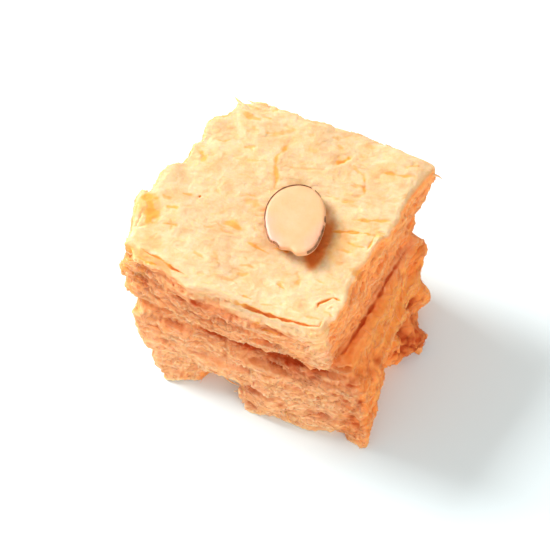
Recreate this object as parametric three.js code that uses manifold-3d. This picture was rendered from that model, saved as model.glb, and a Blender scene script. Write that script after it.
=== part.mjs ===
// One square-cut piece of soan papdi, a flaky sweet of pulled sugar, with a slice of almond on its top.
// Millimetres, +Z up. +X runs to the right along the front face and +Y runs to the back. The piece rests
// on its flat underside, and the origin is the middle of its bounding rectangle at that height.
//
// The block is two halves of flake layers that have slipped on each other along a crease: the lower half
// lies turned under the upper one and reaches out as a ledge on the right. Each half is a stack of ragged
// rings, two to a flake layer, and the halves are joined into one solid.
import * as THREE from "three";
import { mergeVertices } from "three/addons/utils/BufferGeometryUtils.js";
import Module from "manifold-3d";

const wasm = await Module();
wasm.setup();

// Heights of the block
const BLOCK_HEIGHT = 24;
const CREASE_HEIGHT = 12.5;
const CREASE_OVERLAP = 1.6;

// Flake layers: the height in which one rim gives way to the next, how uneven their thickness is as a share
// of the mean, how far their edges wave up and down, and how ragged their rims are
const RISER = 0.25;
const THICKNESS_SPREAD = 0.7;
const EDGE_WAVE = 0.3;
const FEWEST_EDGE_WAVES = 3;
const MORE_EDGE_WAVES = 5;
const FLAKE_STEP = 1.2;
const FRAY = 0.45;
const FLAKE_COLUMNS = 3;
const COLUMNS_PER_SIDE = 20;
const COLUMNS = 4 * COLUMNS_PER_SIDE;

// The layers aren't quite level: they wave by this much at the top and lie flat at the underside. The
// lengths are those of the waves along X and Y.
const LAYER_WAVE = 0.45;
const LAYER_WAVE_LENGTHS = [37, 30];

// Top surface: rings of the cap as shares of the way out to the rim, its low relief and its rounded lip.
// Broad swells and finer ones lie over each other in the relief.
const CAP_RINGS = [0.96, 0.86, 0.7, 0.52, 0.34, 0.16];
const TOP_RELIEF = 0.3;
const BROAD_RELIEF = { share: 0.6, length: 8.4 };
const FINE_RELIEF = { share: 0.4, length: 6 };
const LIP_DROP = 0.35;

// Almond slice
const ALMOND_LENGTH = 15.5;
const ALMOND_WIDTH = 9.6;
const ALMOND_THICKNESS = 1.1;
const ALMOND_EGG = -0.24;
const ALMOND_COLUMNS = 48;
const ALMOND_EDGE = [
  { height: -1, inset: 0.35 },
  { height: -0.6, inset: 0 },
  { height: 0.6, inset: 0 },
  { height: 1, inset: 0.35 },
];
const ALMOND_PLACE = new THREE.Vector3(21.5, 16.1, BLOCK_HEIGHT + 0.95);
const ALMOND_TURN = 32.5;
const ALMOND_TILT = 8;
const ALMOND_PITCH = 2;
const ALMOND_SEAT_GAP = 0.35;

// The front end of the slice is broken off along a line at this distance and bearing from its middle
const BREAK_DISTANCE = 5;
const BREAK_BEARING = 237;
const BREAK_WAVE = 0.2;

// Corners run front left, front right, back right, back left, and sides front, right, back, left. The
// corners are given at a few heights. A bow is how far the middle of a side stands out. Setbacks run from
// the lowest layer to the highest. A swell is a lump or, with a negative reach, a hollow in a side, at a
// share of the way along it.
const LOWER_HALF = {
  seed: 5,
  bottom: 0,
  top: CREASE_HEIGHT + CREASE_OVERLAP / 2,
  levels: [
    { z: 0, corners: [[8, -4.8], [42, -0.6], [36.4, 29.6], [3.2, 28.2]] },
    { z: 9, corners: [[3, -2.2], [42.4, 1.2], [35.6, 31.4], [1, 30.4]] },
    { z: 13.8, corners: [[1.4, -1], [39.4, 1.8], [36.4, 32.4], [0.8, 31]] },
  ],
  bows: [0.3, 0.2, 0.8, 1.2],
  setbacks: [-0.2, 0.4, 0, 0.5, 0.1, 0.3, -0.5, -1.4],
  swells: [
    { side: 0, along: 0.02, z: 0.5, reach: 1.2, spread: 0.05, rise: 3 },
    { side: 0, along: 0.2, z: 0, reach: -2.8, spread: 0.09, rise: 3.4 },
    { side: 0, along: 0.52, z: 4, reach: 0.9, spread: 0.12, rise: 4 },
    { side: 1, along: 0.02, z: 0.5, reach: 1.6, spread: 0.04, rise: 2.5 },
    { side: 1, along: 0.3, z: 3, reach: -1.2, spread: 0.1, rise: 5 },
    { side: 1, along: 0.66, z: 2.2, reach: 3.6, spread: 0.1, rise: 2.6 },
    { side: 1, along: 0.58, z: 5.4, reach: -1.4, spread: 0.09, rise: 1.3 },
    { side: 1, along: 0.82, z: 6.2, reach: 2, spread: 0.08, rise: 1.6 },
    { side: 3, along: 0.6, z: 4, reach: 1, spread: 0.15, rise: 3 },
    { side: 2, along: 0.4, z: 6, reach: 0.9, spread: 0.15, rise: 4 },
  ],
};
const UPPER_HALF = {
  seed: 23,
  bottom: CREASE_HEIGHT - CREASE_OVERLAP / 2,
  top: BLOCK_HEIGHT,
  levels: [
    { z: 12.2, corners: [[-0.4, -0.6], [35.2, 1.3], [32.6, 33.4], [1.2, 31.6]] },
    { z: 18, corners: [[-1.2, -0.8], [35.6, 0.6], [33.2, 35.4], [0.2, 33.6]] },
    { z: 24, corners: [[0.2, 0.1], [35.5, 0], [33.6, 36.6], [-0.9, 34]] },
  ],
  bows: [1.5, 0.3, 0.6, 1.4],
  setbacks: [-1.1, -0.1, -0.5, 0.4, 0, 0.3, 0.1],
  swells: [
    { side: 0, along: 0.36, z: 23, reach: 0.6, spread: 0.2, rise: 3 },
    { side: 1, along: 0.97, z: 22, reach: 0.7, spread: 0.06, rise: 3 },
    { side: 2, along: 0.62, z: 22, reach: -0.7, spread: 0.06, rise: 4 },
    { side: 3, along: 0.06, z: 23, reach: -2, spread: 0.05, rise: 4 },
    { side: 3, along: 0.66, z: 21, reach: 1.9, spread: 0.18, rise: 6 },
    { side: 3, along: 0.8, z: 23, reach: -0.8, spread: 0.05, rise: 4 },
  ],
};

// Hollows torn in the surface, each a half-sunk ellipsoid: long cracks behind the front lip, the open pit
// on the left, a curled flake at the front right corner and gouges beside and behind the almond
const HOLLOW_COLUMNS = 12;
const HOLLOW_ROWS = 8;
const TOP_HOLLOWS = [
  { x: 7, y: 0.9, length: 9, width: 0.9, depth: 1.6, turn: -7 },
  { x: 28, y: 0.5, length: 12.5, width: 0.9, depth: 2, turn: 9 },
  { x: 0.2, y: 6.6, length: 6.4, width: 3.4, depth: 1.7, turn: 76 },
  { x: -1.6, y: 10, length: 4.4, width: 2, depth: 1.4, turn: 118 },
  { x: 32.6, y: 6.2, length: 3.4, width: 1.3, depth: 1.2, turn: 50 },
  { x: 29.2, y: 20, length: 6.4, width: 1.1, depth: 0.9, turn: 24 },
  { x: 33, y: 19, length: 4.2, width: 1, depth: 0.8, turn: 99 },
  { x: 20.8, y: 31.4, length: 2.6, width: 1.6, depth: 1, turn: 60 },
  { x: 26.4, y: 30, length: 5.4, width: 1.1, depth: 0.7, turn: -62 },
  { x: 12.2, y: 11.6, length: 4, width: 1.8, depth: 0.7, turn: -12 },
];

// Arches where the front and both sides of the underside stand clear of the surface it rests on
const UNDERSIDE_ARCHES = [
  { x: 18.3, y: -3, length: 9.6, width: 9.6, depth: 4.8, turn: 8 },
  { x: 38.6, y: -1.6, length: 3.6, width: 4, depth: 1.6, turn: 0 },
  { x: 41, y: 11, length: 9.4, width: 6.4, depth: 4.2, turn: 100 },
  { x: 4.2, y: 10.4, length: 6.4, width: 4, depth: 1.8, turn: 96 },
];

// A number from 0 to 1 that looks random and is always the same for the same keys.
function scatter(...keys) {
  const mixed = keys.reduce((total, key) => 31.7 * total + key, 0);
  const wave = Math.sin(mixed * 127.1 + 311.7) * 43758.5453;
  return wave - Math.floor(wave);
}

function turnsToSine(turns) {
  return Math.sin(2 * Math.PI * turns);
}

function layerWave(x, y) {
  const [lengthX, lengthY] = LAYER_WAVE_LENGTHS;
  return LAYER_WAVE * (turnsToSine(x / lengthX + 0.1) + turnsToSine((y + 0.5 * x) / lengthY));
}

function topRelief(x, y) {
  const broad = turnsToSine((0.55 * x + 0.83 * y) / BROAD_RELIEF.length);
  const fine = turnsToSine((0.9 * x - 0.44 * y) / FINE_RELIEF.length) * turnsToSine(y / FINE_RELIEF.length);
  return TOP_RELIEF * (BROAD_RELIEF.share * broad + FINE_RELIEF.share * fine);
}

// The corners of a half at height z, between the two listed levels on either side of it.
function cornersAt(half, z) {
  const above = Math.max(1, half.levels.findIndex((level) => level.z >= z));
  const low = half.levels[above - 1];
  const high = half.levels[above];
  const share = THREE.MathUtils.clamp((z - low.z) / (high.z - low.z), 0, 1);
  return low.corners.map((corner, index) => {
    return new THREE.Vector2(...corner).lerp(new THREE.Vector2(...high.corners[index]), share);
  });
}

function swellReach(half, side, along, z) {
  let reach = 0;
  for (const swell of half.swells) {
    if (swell.side === side) {
      const acrossFalloff = ((along - swell.along) / swell.spread) ** 2;
      const heightFalloff = ((z - swell.z) / swell.rise) ** 2;
      reach += swell.reach * Math.exp(-acrossFalloff - heightFalloff);
    }
  }
  return reach;
}

// How far a layer's rim stands out at a column: its setback, the flake it belongs to and fine fray.
function rimReach(half, layer, column) {
  const flake = Math.floor((column + FLAKE_COLUMNS * scatter(layer)) / FLAKE_COLUMNS);
  const flakeShare = scatter(half.seed, layer, flake) - 0.5;
  const frayShare = scatter(half.seed, layer, column + COLUMNS) - 0.5;
  return half.setbacks[layer] + FLAKE_STEP * flakeShare + FRAY * frayShare;
}

// One point of a half's outline. Reach is measured outwards from the half's middle.
function outlinePoint(half, layer, column, z) {
  const side = Math.floor(column / COLUMNS_PER_SIDE);
  const along = ((column % COLUMNS_PER_SIDE) + 0.5) / COLUMNS_PER_SIDE;
  const corners = cornersAt(half, z);
  const start = corners[side];
  const end = corners[(side + 1) % corners.length];
  const outward = new THREE.Vector2(end.y - start.y, start.x - end.x).normalize();
  const point = start.clone().lerp(end, along);
  point.addScaledVector(outward, half.bows[side] * Math.sin(Math.PI * along));
  const middle = middleOf(corners);
  const fromMiddle = point.clone().sub(middle).normalize();
  return point.addScaledVector(fromMiddle, swellReach(half, side, along, z) + rimReach(half, layer, column));
}

function middleOf(corners) {
  const sum = corners.reduce((total, corner) => total.add(corner), new THREE.Vector2());
  return sum.divideScalar(corners.length);
}

function rimPoint(half, layer, column, z) {
  const point = outlinePoint(half, layer, column, z);
  return waved(point.x, point.y, z);
}

function waved(x, y, z) {
  return new THREE.Vector3(x, y, z + (z / BLOCK_HEIGHT) * layerWave(x, y));
}

// Heights where one layer of a half gives way to the next, with the half's bottom and top at the ends.
function layerHeights(half) {
  const weights = half.setbacks.map((_, layer) => 1 + THICKNESS_SPREAD * (scatter(half.seed, layer) - 0.5));
  const total = weights.reduce((sum, weight) => sum + weight, 0);
  const heights = [half.bottom];
  for (const weight of weights) {
    heights.push(heights[heights.length - 1] + ((half.top - half.bottom) * weight) / total);
  }
  return heights;
}

// How far the edge between two layers is lifted at a column: a few slow waves round the half.
function edgeLift(half, edge, column) {
  const waves = FEWEST_EDGE_WAVES + Math.floor(MORE_EDGE_WAVES * scatter(edge, half.seed));
  return EDGE_WAVE * turnsToSine((waves * column) / COLUMNS + scatter(edge));
}

// The rings of one half, from its lowest rim to the middle of its top.
function halfRings(half) {
  const layers = half.setbacks.length;
  const heights = layerHeights(half);
  const rings = [];
  for (let layer = 0; layer < layers; layer += 1) {
    const isLowest = layer === 0;
    const isHighest = layer === layers - 1;
    rings.push(ringOf((column) => {
      const z = heights[layer] + (isLowest ? 0 : RISER + edgeLift(half, layer, column));
      return rimPoint(half, layer, column, z);
    }));
    rings.push(ringOf((column) => {
      const z = heights[layer + 1] + (isHighest ? -LIP_DROP : edgeLift(half, layer + 1, column));
      return rimPoint(half, layer, column, z);
    }));
  }
  const middle = middleOf(cornersAt(half, half.top));
  for (const share of CAP_RINGS) {
    rings.push(ringOf((column) => {
      const rim = outlinePoint(half, layers - 1, column, half.top);
      const point = middle.clone().lerp(rim, share);
      return waved(point.x, point.y, half.top + topRelief(point.x, point.y));
    }));
  }
  return rings;
}

function ringOf(pointAt) {
  return Array.from({ length: COLUMNS }, (_, column) => pointAt(column));
}

// A closed mesh through a stack of rings, lowest first, closed by a fan at each end.
function loftGeometry(rings) {
  const columns = rings[0].length;
  const positions = [];
  const faces = [];
  for (const ring of rings) {
    for (const point of ring) {
      positions.push(point.x, point.y, point.z);
    }
  }
  for (let row = 0; row < rings.length - 1; row += 1) {
    for (let column = 0; column < columns; column += 1) {
      const next = (column + 1) % columns;
      const here = row * columns;
      const over = here + columns;
      faces.push(here + column, here + next, over + next);
      faces.push(here + column, over + next, over + column);
    }
  }
  const ends = [rings[0], rings[rings.length - 1]];
  ends.forEach((ring, end) => {
    const centre = positions.length / 3;
    const sum = ring.reduce((total, point) => total.add(point), new THREE.Vector3());
    positions.push(sum.x / columns, sum.y / columns, sum.z / columns);
    const start = end === 0 ? 0 : (rings.length - 1) * columns;
    for (let column = 0; column < columns; column += 1) {
      const next = (column + 1) % columns;
      const edge = end === 0 ? [start + next, start + column] : [start + column, start + next];
      faces.push(centre, ...edge);
    }
  });
  const geometry = new THREE.BufferGeometry();
  geometry.setAttribute("position", new THREE.Float32BufferAttribute(positions, 3));
  geometry.setIndex(faces);
  return geometry;
}

function solidOf(geometry) {
  const bare = geometry.clone();
  bare.deleteAttribute("normal");
  bare.deleteAttribute("uv");
  const merged = mergeVertices(bare);
  return new wasm.Manifold(new wasm.Mesh({
    numProp: 3,
    vertProperties: new Float32Array(merged.attributes.position.array),
    triVerts: new Uint32Array(merged.index.array),
  }));
}

function geometryOf(solid) {
  const mesh = solid.getMesh();
  const geometry = new THREE.BufferGeometry();
  geometry.setAttribute("position", new THREE.BufferAttribute(mesh.vertProperties, 3));
  geometry.setIndex(new THREE.BufferAttribute(mesh.triVerts, 1));
  return geometry;
}

// A hollow's ellipsoid, with its middle at height z.
function hollowSolid(hollow, z) {
  const geometry = new THREE.SphereGeometry(1, HOLLOW_COLUMNS, HOLLOW_ROWS);
  geometry.rotateX(Math.PI / 2);
  geometry.scale(hollow.length / 2, hollow.width / 2, hollow.depth);
  geometry.rotateZ(THREE.MathUtils.degToRad(hollow.turn));
  geometry.translate(hollow.x, hollow.y, z);
  return solidOf(geometry);
}

// The almond slice about its own middle, width along X and length along Y: an egg outline with one end
// broken off, a little larger at mid thickness than at its faces. Grow makes it larger all round.
function almondGeometry(grow) {
  const breakAngle = THREE.MathUtils.degToRad(BREAK_BEARING);
  const breakWay = new THREE.Vector2(Math.cos(breakAngle), Math.sin(breakAngle));
  const rings = ALMOND_EDGE.map((edge) => {
    return Array.from({ length: ALMOND_COLUMNS }, (_, column) => {
      const angle = (2 * Math.PI * column) / ALMOND_COLUMNS;
      const taper = 1 - ALMOND_EGG * Math.sin(angle);
      const point = new THREE.Vector2(
        (ALMOND_WIDTH / 2) * taper * Math.cos(angle),
        (ALMOND_LENGTH / 2) * Math.sin(angle),
      );
      const past = point.dot(breakWay) - BREAK_DISTANCE - BREAK_WAVE * Math.sin(column);
      point.addScaledVector(breakWay, -Math.max(0, past));
      point.setLength(point.length() - edge.inset + grow);
      return new THREE.Vector3(point.x, point.y, edge.height * (ALMOND_THICKNESS / 2 + grow));
    });
  });
  return loftGeometry(rings);
}

const almondTurn = new THREE.Euler(
  THREE.MathUtils.degToRad(-ALMOND_PITCH),
  THREE.MathUtils.degToRad(-ALMOND_TILT),
  THREE.MathUtils.degToRad(ALMOND_TURN),
  "ZYX",
);
const seat = almondGeometry(ALMOND_SEAT_GAP);
seat.applyMatrix4(new THREE.Matrix4().makeRotationFromEuler(almondTurn));
seat.translate(...ALMOND_PLACE);

const lowerSolid = solidOf(loftGeometry(halfRings(LOWER_HALF)));
const upperSolid = solidOf(loftGeometry(halfRings(UPPER_HALF)));
const hollows = [
  ...TOP_HOLLOWS.map((hollow) => hollowSolid(hollow, BLOCK_HEIGHT + layerWave(hollow.x, hollow.y))),
  ...UNDERSIDE_ARCHES.map((arch) => hollowSolid(arch, 0)),
  solidOf(seat),
];
let blockSolid = lowerSolid.add(upperSolid);
for (const hollow of hollows) {
  blockSolid = blockSolid.subtract(hollow);
}

const flossMaterial = new THREE.MeshStandardMaterial({ color: 0xf4c08c, roughness: 0.85, metalness: 0 });
const blockMesh = new THREE.Mesh(geometryOf(blockSolid), flossMaterial);
blockMesh.name = "sweet_block";

const almondMaterial = new THREE.MeshStandardMaterial({ color: 0xfadcae, roughness: 0.55, metalness: 0 });
const almondMesh = new THREE.Mesh(almondGeometry(0), almondMaterial);
almondMesh.name = "almond_slice";
almondMesh.position.copy(ALMOND_PLACE);
almondMesh.rotation.copy(almondTurn);

const piece = new THREE.Group();
piece.add(blockMesh, almondMesh);
const extent = new THREE.Box3().setFromObject(piece);
const middle = extent.getCenter(new THREE.Vector3());
piece.position.set(-middle.x, -middle.y, -extent.min.z);

export default piece;
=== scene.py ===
import itertools
import math

import bpy
import numpy as np
import openvdb as vdb
from mathutils import Matrix, Vector


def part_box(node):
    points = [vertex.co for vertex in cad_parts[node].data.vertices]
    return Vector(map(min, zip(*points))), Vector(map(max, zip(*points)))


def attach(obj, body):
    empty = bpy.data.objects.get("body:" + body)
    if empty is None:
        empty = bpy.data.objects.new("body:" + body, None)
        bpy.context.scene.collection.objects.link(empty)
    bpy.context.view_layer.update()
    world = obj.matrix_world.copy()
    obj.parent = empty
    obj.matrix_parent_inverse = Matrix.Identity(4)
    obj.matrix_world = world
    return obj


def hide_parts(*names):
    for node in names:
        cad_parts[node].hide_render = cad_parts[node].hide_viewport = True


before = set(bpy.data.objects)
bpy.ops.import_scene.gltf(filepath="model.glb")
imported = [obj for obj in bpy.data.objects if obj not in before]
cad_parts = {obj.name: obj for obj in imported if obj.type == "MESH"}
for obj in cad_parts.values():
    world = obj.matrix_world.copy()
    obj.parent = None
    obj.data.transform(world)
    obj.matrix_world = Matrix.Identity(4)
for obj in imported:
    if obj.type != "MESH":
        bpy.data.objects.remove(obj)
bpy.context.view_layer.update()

bl_info = {
    "name": "Soan Papdi",
    "version": (1, 0, 0),
    "blender": (4, 5, 0),
    "location": "View3D > Sidebar > Sweet",
    "description": "Dresses a piece of soan papdi: its torn sugar layers, threads, flakes and almond slice",
    "category": "Add Mesh",
}

# Shapes are worked out in millimetres and turned to metres where a mesh is made.
MM = 0.001

# How far the block reaches to the left of, in front of and above the front left corner of its flat top.
LEFT_OF_CORNER, BEFORE_CORNER, ABOVE_TOP = 4.03, 5.33, 0.98

# Places on the sweet are given from the front left corner of the top, X to the right and Y to the back.
block_low, block_high = (np.array(corner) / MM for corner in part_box("sweet_block"))
CORNER = np.array([block_low[0] + LEFT_OF_CORNER, block_low[1] + BEFORE_CORNER, 0.0])
TOP = block_high[2] - ABOVE_TOP

# The height of the crease between the two halves of the block.
CREASE = 0.52 * TOP

# The bearing that the grain of the top is drawn out along, in degrees.
GRAIN = 17

# Where the middle of the almond slice lies on the top, and its bearing.
ALMOND_MIDDLE = np.array([21.5, 16.1])
ALMOND_TURN = math.radians(32.5)

# Cells along each side of the block of chance values that all noise is read from.
LATTICE = 64

# The relief reaches this far to either side of the block's smooth surface, in millimetres.
BAND = 1.6

# The carved block, kept for the pieces that lie on it.
BLOCK = {}

# Sockets of a node that mixes colours: its share, the colours under and over, and the colour that it gives.
SHARE, UNDER, OVER, MIXED = 0, 6, 7, 2


def linear(hex_colour):
    """An sRGB hex colour as linear red, green, blue and alpha."""
    shares = [int(hex_colour[i:i + 2], 16) / 255 for i in (1, 3, 5)]
    return [s / 12.92 if s <= 0.04045 else ((s + 0.055) / 1.055) ** 2.4 for s in shares] + [1.0]


def add_node(tree, kind, settings=None, inputs=None, stops=None):
    """Adds a node. Inputs are values or sockets to link from, and stops are a ramp's places and colours."""
    node = tree.nodes.new(kind)
    for name, value in (settings or {}).items():
        setattr(node, name, value)
    for name, value in (inputs or {}).items():
        if isinstance(value, bpy.types.NodeSocket):
            tree.links.new(value, node.inputs[name])
        else:
            node.inputs[name].default_value = value
    for index, (place, colour) in enumerate(stops or []):
        ramp = node.color_ramp.elements
        stop = ramp[index] if index < 2 else ramp.new(place)
        stop.position = place
        stop.color = colour
    return node


def new_material(name):
    """An empty node material and its tree."""
    material = bpy.data.materials.new(name)
    material.use_nodes = True
    material.node_tree.nodes.clear()
    return material, material.node_tree


def add_piece(name, points, faces, material):
    """A mesh piece from points in millimetres and faces, riding on the whole part."""
    mesh = bpy.data.meshes.new(name)
    faces = faces if isinstance(faces, list) else faces.tolist()
    mesh.from_pydata((np.asarray(points) * MM).tolist(), [], faces)
    mesh.validate()
    mesh.shade_smooth()
    mesh.materials.append(material)
    piece = bpy.data.objects.new(name, mesh)
    bpy.context.scene.collection.objects.link(piece)
    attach(piece, "root")
    return piece


def add_mask(piece, name, values):
    """Stores a value for each point of a piece, for its material to read."""
    attribute = piece.data.attributes.new(name, "FLOAT", "POINT")
    attribute.data.foreach_set("value", np.asarray(values, np.float32))


def ease(low, high, values):
    """0 below low, 1 above high and a smooth step between."""
    share = np.clip((values - low) / (high - low), 0, 1)
    return share * share * (3 - 2 * share)


def unit(vectors):
    """Vectors brought to length 1."""
    return vectors / (np.linalg.norm(vectors, axis=-1, keepdims=True) + 1e-9)


def lumps(points, size, seed, turn=0.0):
    """Smooth noise from -1 to 1. Its lumps have that size in millimetres along X, Y and Z, turned about Z."""
    lattice = np.random.default_rng(seed).random(LATTICE ** 3, dtype=np.float32) * 2 - 1
    across, along = math.cos(turn), math.sin(turn)
    turned = np.stack([
        points[:, 0] * across + points[:, 1] * along,
        points[:, 1] * across - points[:, 0] * along,
        points[:, 2],
    ], axis=1)
    cells = turned / np.array(size, np.float32) + 7.3
    base = np.floor(cells).astype(np.int32)
    share = (cells - base).astype(np.float32)
    share = share * share * (3 - 2 * share)
    total = np.zeros(len(points), np.float32)
    for corner in itertools.product((0, 1), repeat=3):
        index = (base + np.array(corner, np.int32)) % LATTICE
        flat = (index[:, 0] * LATTICE + index[:, 1]) * LATTICE + index[:, 2]
        weight = np.ones(len(points), np.float32)
        for axis in range(3):
            weight *= share[:, axis] if corner[axis] else 1 - share[:, axis]
        total += weight * lattice[flat]
    return total


def blurred(values, passes):
    """A grid of values smoothed along each axis."""
    for _ in range(passes):
        for axis in range(3):
            around = np.roll(values, -1, axis) + np.roll(values, 1, axis)
            values = 0.5 * values + 0.25 * around
    return values


class Distance:
    """A grid of distances to the surface of the CAD block, in millimetres, negative inside."""

    def __init__(self, mesh, voxel, band):
        self.voxel = voxel
        self.band = band
        points = np.array([v.co for v in mesh.vertices], np.float32) / MM
        mesh.calc_loop_triangles()
        triangles = np.array([t.vertices[:] for t in mesh.loop_triangles], np.uint32)
        self.transform = vdb.createLinearTransform(voxelSize=voxel)
        grid = vdb.FloatGrid.createLevelSetFromPolygons(
            points, triangles=triangles, transform=self.transform, halfWidth=band / voxel)
        margin = int(round(band / voxel)) + 2
        self.low = np.floor(points.min(0) / voxel).astype(int) - margin
        self.high = np.ceil(points.max(0) / voxel).astype(int) + margin
        shape = self.high - self.low + 1
        self.values = np.full(shape, band, np.float32)
        grid.copyToArray(self.values, ijk=tuple(int(i) for i in self.low))

    def places(self, chosen):
        """The points of the chosen cells, in millimetres."""
        index = np.argwhere(chosen) + self.low
        return (index * self.voxel).astype(np.float32)

    def sampled(self, values, points, step=1):
        """A grid of values, with one cell kept in each step, read at points between its cells."""
        cells = (points / self.voxel - self.low) / step
        base = np.clip(np.floor(cells).astype(int), 0, np.array(values.shape) - 2)
        share = np.clip(cells - base, 0, 1)
        total = np.zeros(len(points))
        for corner in itertools.product((0, 1), repeat=3):
            weight = np.prod(np.where(corner, share, 1 - share), axis=1)
            index = base + np.array(corner)
            total += weight * values[index[:, 0], index[:, 1], index[:, 2]]
        return total

    def surface(self, values):
        """Points and four-sided faces of the surface where values are zero."""
        grid = vdb.FloatGrid(float(self.band))
        grid.copyFromArray(values, ijk=tuple(int(i) for i in self.low))
        grid.transform = self.transform
        return grid.convertToQuads(0.0)


# How deep a mark of depth 1 is cut, in millimetres.
MARK_CUT = 0.4

# Marks in the top: the width in millimetres, how deep it is or, below 0, how high, how strongly it colours
# the top, and the places that it runs through. The colour is a stain along the mark and, where it passes
# 0.9, painted shade in the cut.
MARKS = (
    (0.36, 0.3, 1.7, ((2.7, 0.6), (4.7, 0.3), (6.6, 0.3), (9.2, -0.3), (11.4, -0.2))),
    (0.34, 0.2, 1.2, ((2.9, -0.8), (5.0, -1.0), (6.9, -0.8))),
    (0.42, 0.4, 1.7, ((20.4, -0.5), (24.5, 0.0), (28.7, 0.4), (32.9, 1.1), (34.3, 1.7), (34.0, 3.3))),
    (0.5, 0.4, 1.3, ((24.1, -1.5), (27.8, -1.1), (29.9, -0.8), (32.0, -0.6))),
    (0.42, 0.4, 1.5, ((32.2, 4.4), (31.9, 5.6), (32.7, 6.8), (33.3, 7.7), (34.6, 7.6))),
    (0.65, 0.25, 1.15, ((26.2, 17.9), (28.9, 19.4), (33.0, 20.4))),
    (0.4, 0.3, 1.0, ((33.4, 20.6), (33.6, 17.4))),
    (0.7, -0.7, 0.0, ((34.2, 21.0), (34.3, 17.4))),
    (0.9, -0.6, 0.0, ((33.5, 5.4), (33.9, 6.2))),
    (0.9, 0.2, 1.3, ((20.1, 11.6), (21.6, 12.1), (22.9, 12.1))),
    (1.1, 0.3, 1.3, ((20.5, 30.1), (21.4, 30.9), (21.8, 32.4))),
    (0.8, 0.12, 0.75, ((25.0, 31.0), (26.5, 29.0), (27.6, 26.8))),
    (0.8, 0.12, 0.75, ((12.3, 30.3), (11.7, 26.7), (12.6, 24.8), (14.0, 22.6), (14.6, 20.7))),
    (0.6, 0.1, 0.5, ((7.2, 24.0), (9.1, 24.4), (11.2, 25.2))),
    (0.35, 0.2, 0.4, ((13.6, 25.6), (16.0, 26.4), (20.1, 28.4))),
    (1.6, 0.15, 0.7, ((10.8, 11.5), (12.4, 12.2), (14.4, 11.7))),
    (1.4, 0.1, 0.5, ((11.4, 16.9), (12.9, 17.8), (14.0, 16.7))),
    (0.5, 0.3, 2.0, ((4.9, 14.1), (5.2, 14.1))),
    (0.5, 0.1, 0.6, ((2.3, 13.1), (4.0, 13.8))),
    (3.6, 0.2, 1.0, ((-3.0, 10.6), (-0.6, 8.6), (0.6, 6.5), (1.5, 5.0))),
    (1.2, 0.1, 0.8, ((1.6, 9.6), (3.8, 9.9))),
    (0.9, 0.1, 0.7, ((3.0, 6.3), (5.5, 7.2))),
    (0.6, 0.1, 0.5, ((3.4, 4.4), (3.2, 2.6))),
    (1.6, 0.2, 0.7, ((-0.8, 22.4), (1.0, 21.6), (2.2, 20.6))),
    (0.5, 0.2, 0.7, ((24.2, 6.0), (26.2, 5.3))),
    (1.0, 0.1, 0.5, ((25.4, 9.6), (26.8, 8.4), (27.0, 6.8))),
    (0.5, 0.15, 0.7, ((16.0, 10.3), (18.6, 10.2), (20.4, 10.2))),
    (0.8, 0.15, 0.7, ((26.8, 31.5), (29.5, 32.4), (31.4, 32.8), (33.4, 34.0))),
    (0.6, 0.2, 0.6, ((33.8, 12.4), (34.6, 14.2))),
    (0.7, 0.1, 0.5, ((25.0, 24.2), (27.2, 24.9))),
    (0.6, 0.15, 0.7, ((28.6, 21.6), (31.2, 22.6), (34.2, 24.2))),
    (0.5, 0.12, 0.7, ((29.6, 17.6), (31.4, 17.4), (33.4, 17.9))),
    (0.5, 0.1, 0.6, ((28.4, 15.2), (30.4, 15.9), (32.2, 16.0))),
    (0.6, 0.1, 0.4, ((16.0, 2.0), (18.0, 2.8), (19.4, 2.4))),
    (0.6, 0.15, 0.7, ((20.8, 0.9), (22.6, 1.2))),
    (0.5, 0.1, 0.5, ((10.0, 4.2), (12.6, 3.6))),
    (0.7, 0.15, 0.6, ((2.2, 31.6), (3.9, 31.2), (6.0, 31.7))),
    (1.2, 0.1, 0.5, ((8.5, 29.4), (10.0, 31.4), (11.8, 32.6))),
    (1.0, 0.1, 0.4, ((15.0, 30.6), (18.5, 30.2))),
)

# Seams between torn sheets of the sides, given as the marks are, but with their depth in millimetres and
# the height of each place. Their third value is how much painted shade they get, for the shade under the
# sheets.
SEAMS = (
    (0.9, 0.6, 1.4, ((24.5, -1.4, 21.6), (28.7, -0.9, 21.2), (31.3, -0.1, 19.8))),
    (0.8, 0.1, 1.3, ((8.8, -1.6, 22.7), (12.8, -2.2, 22.4), (17.1, -1.7, 22.1))),
    (0.8, 0.7, 1.1, ((20.6, -1.8, 18.3), (24.4, -0.8, 16.0), (29.4, -0.6, 15.8))),
    (1.0, 0.6, 1.2, ((32.6, -0.4, 17.4), (33.8, 0.2, 14.8))),
    (0.62, 0.7, 1.4, (
        (35.4, 2.6, 12.6), (36.0, 5.8, 13.6), (36.1, 9.7, 14.2), (35.9, 12.5, 14.1), (35.8, 15.0, 14.2),
        (35.7, 17.6, 14.5), (35.4, 19.9, 14.6), (35.2, 22.4, 14.4), (35.0, 24.9, 14.1), (34.6, 27.4, 13.5))),
    (0.8, 0.3, 0.9, ((35.6, 9.0, 17.0), (35.4, 14.0, 17.4), (35.0, 19.0, 17.6))),
)
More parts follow.
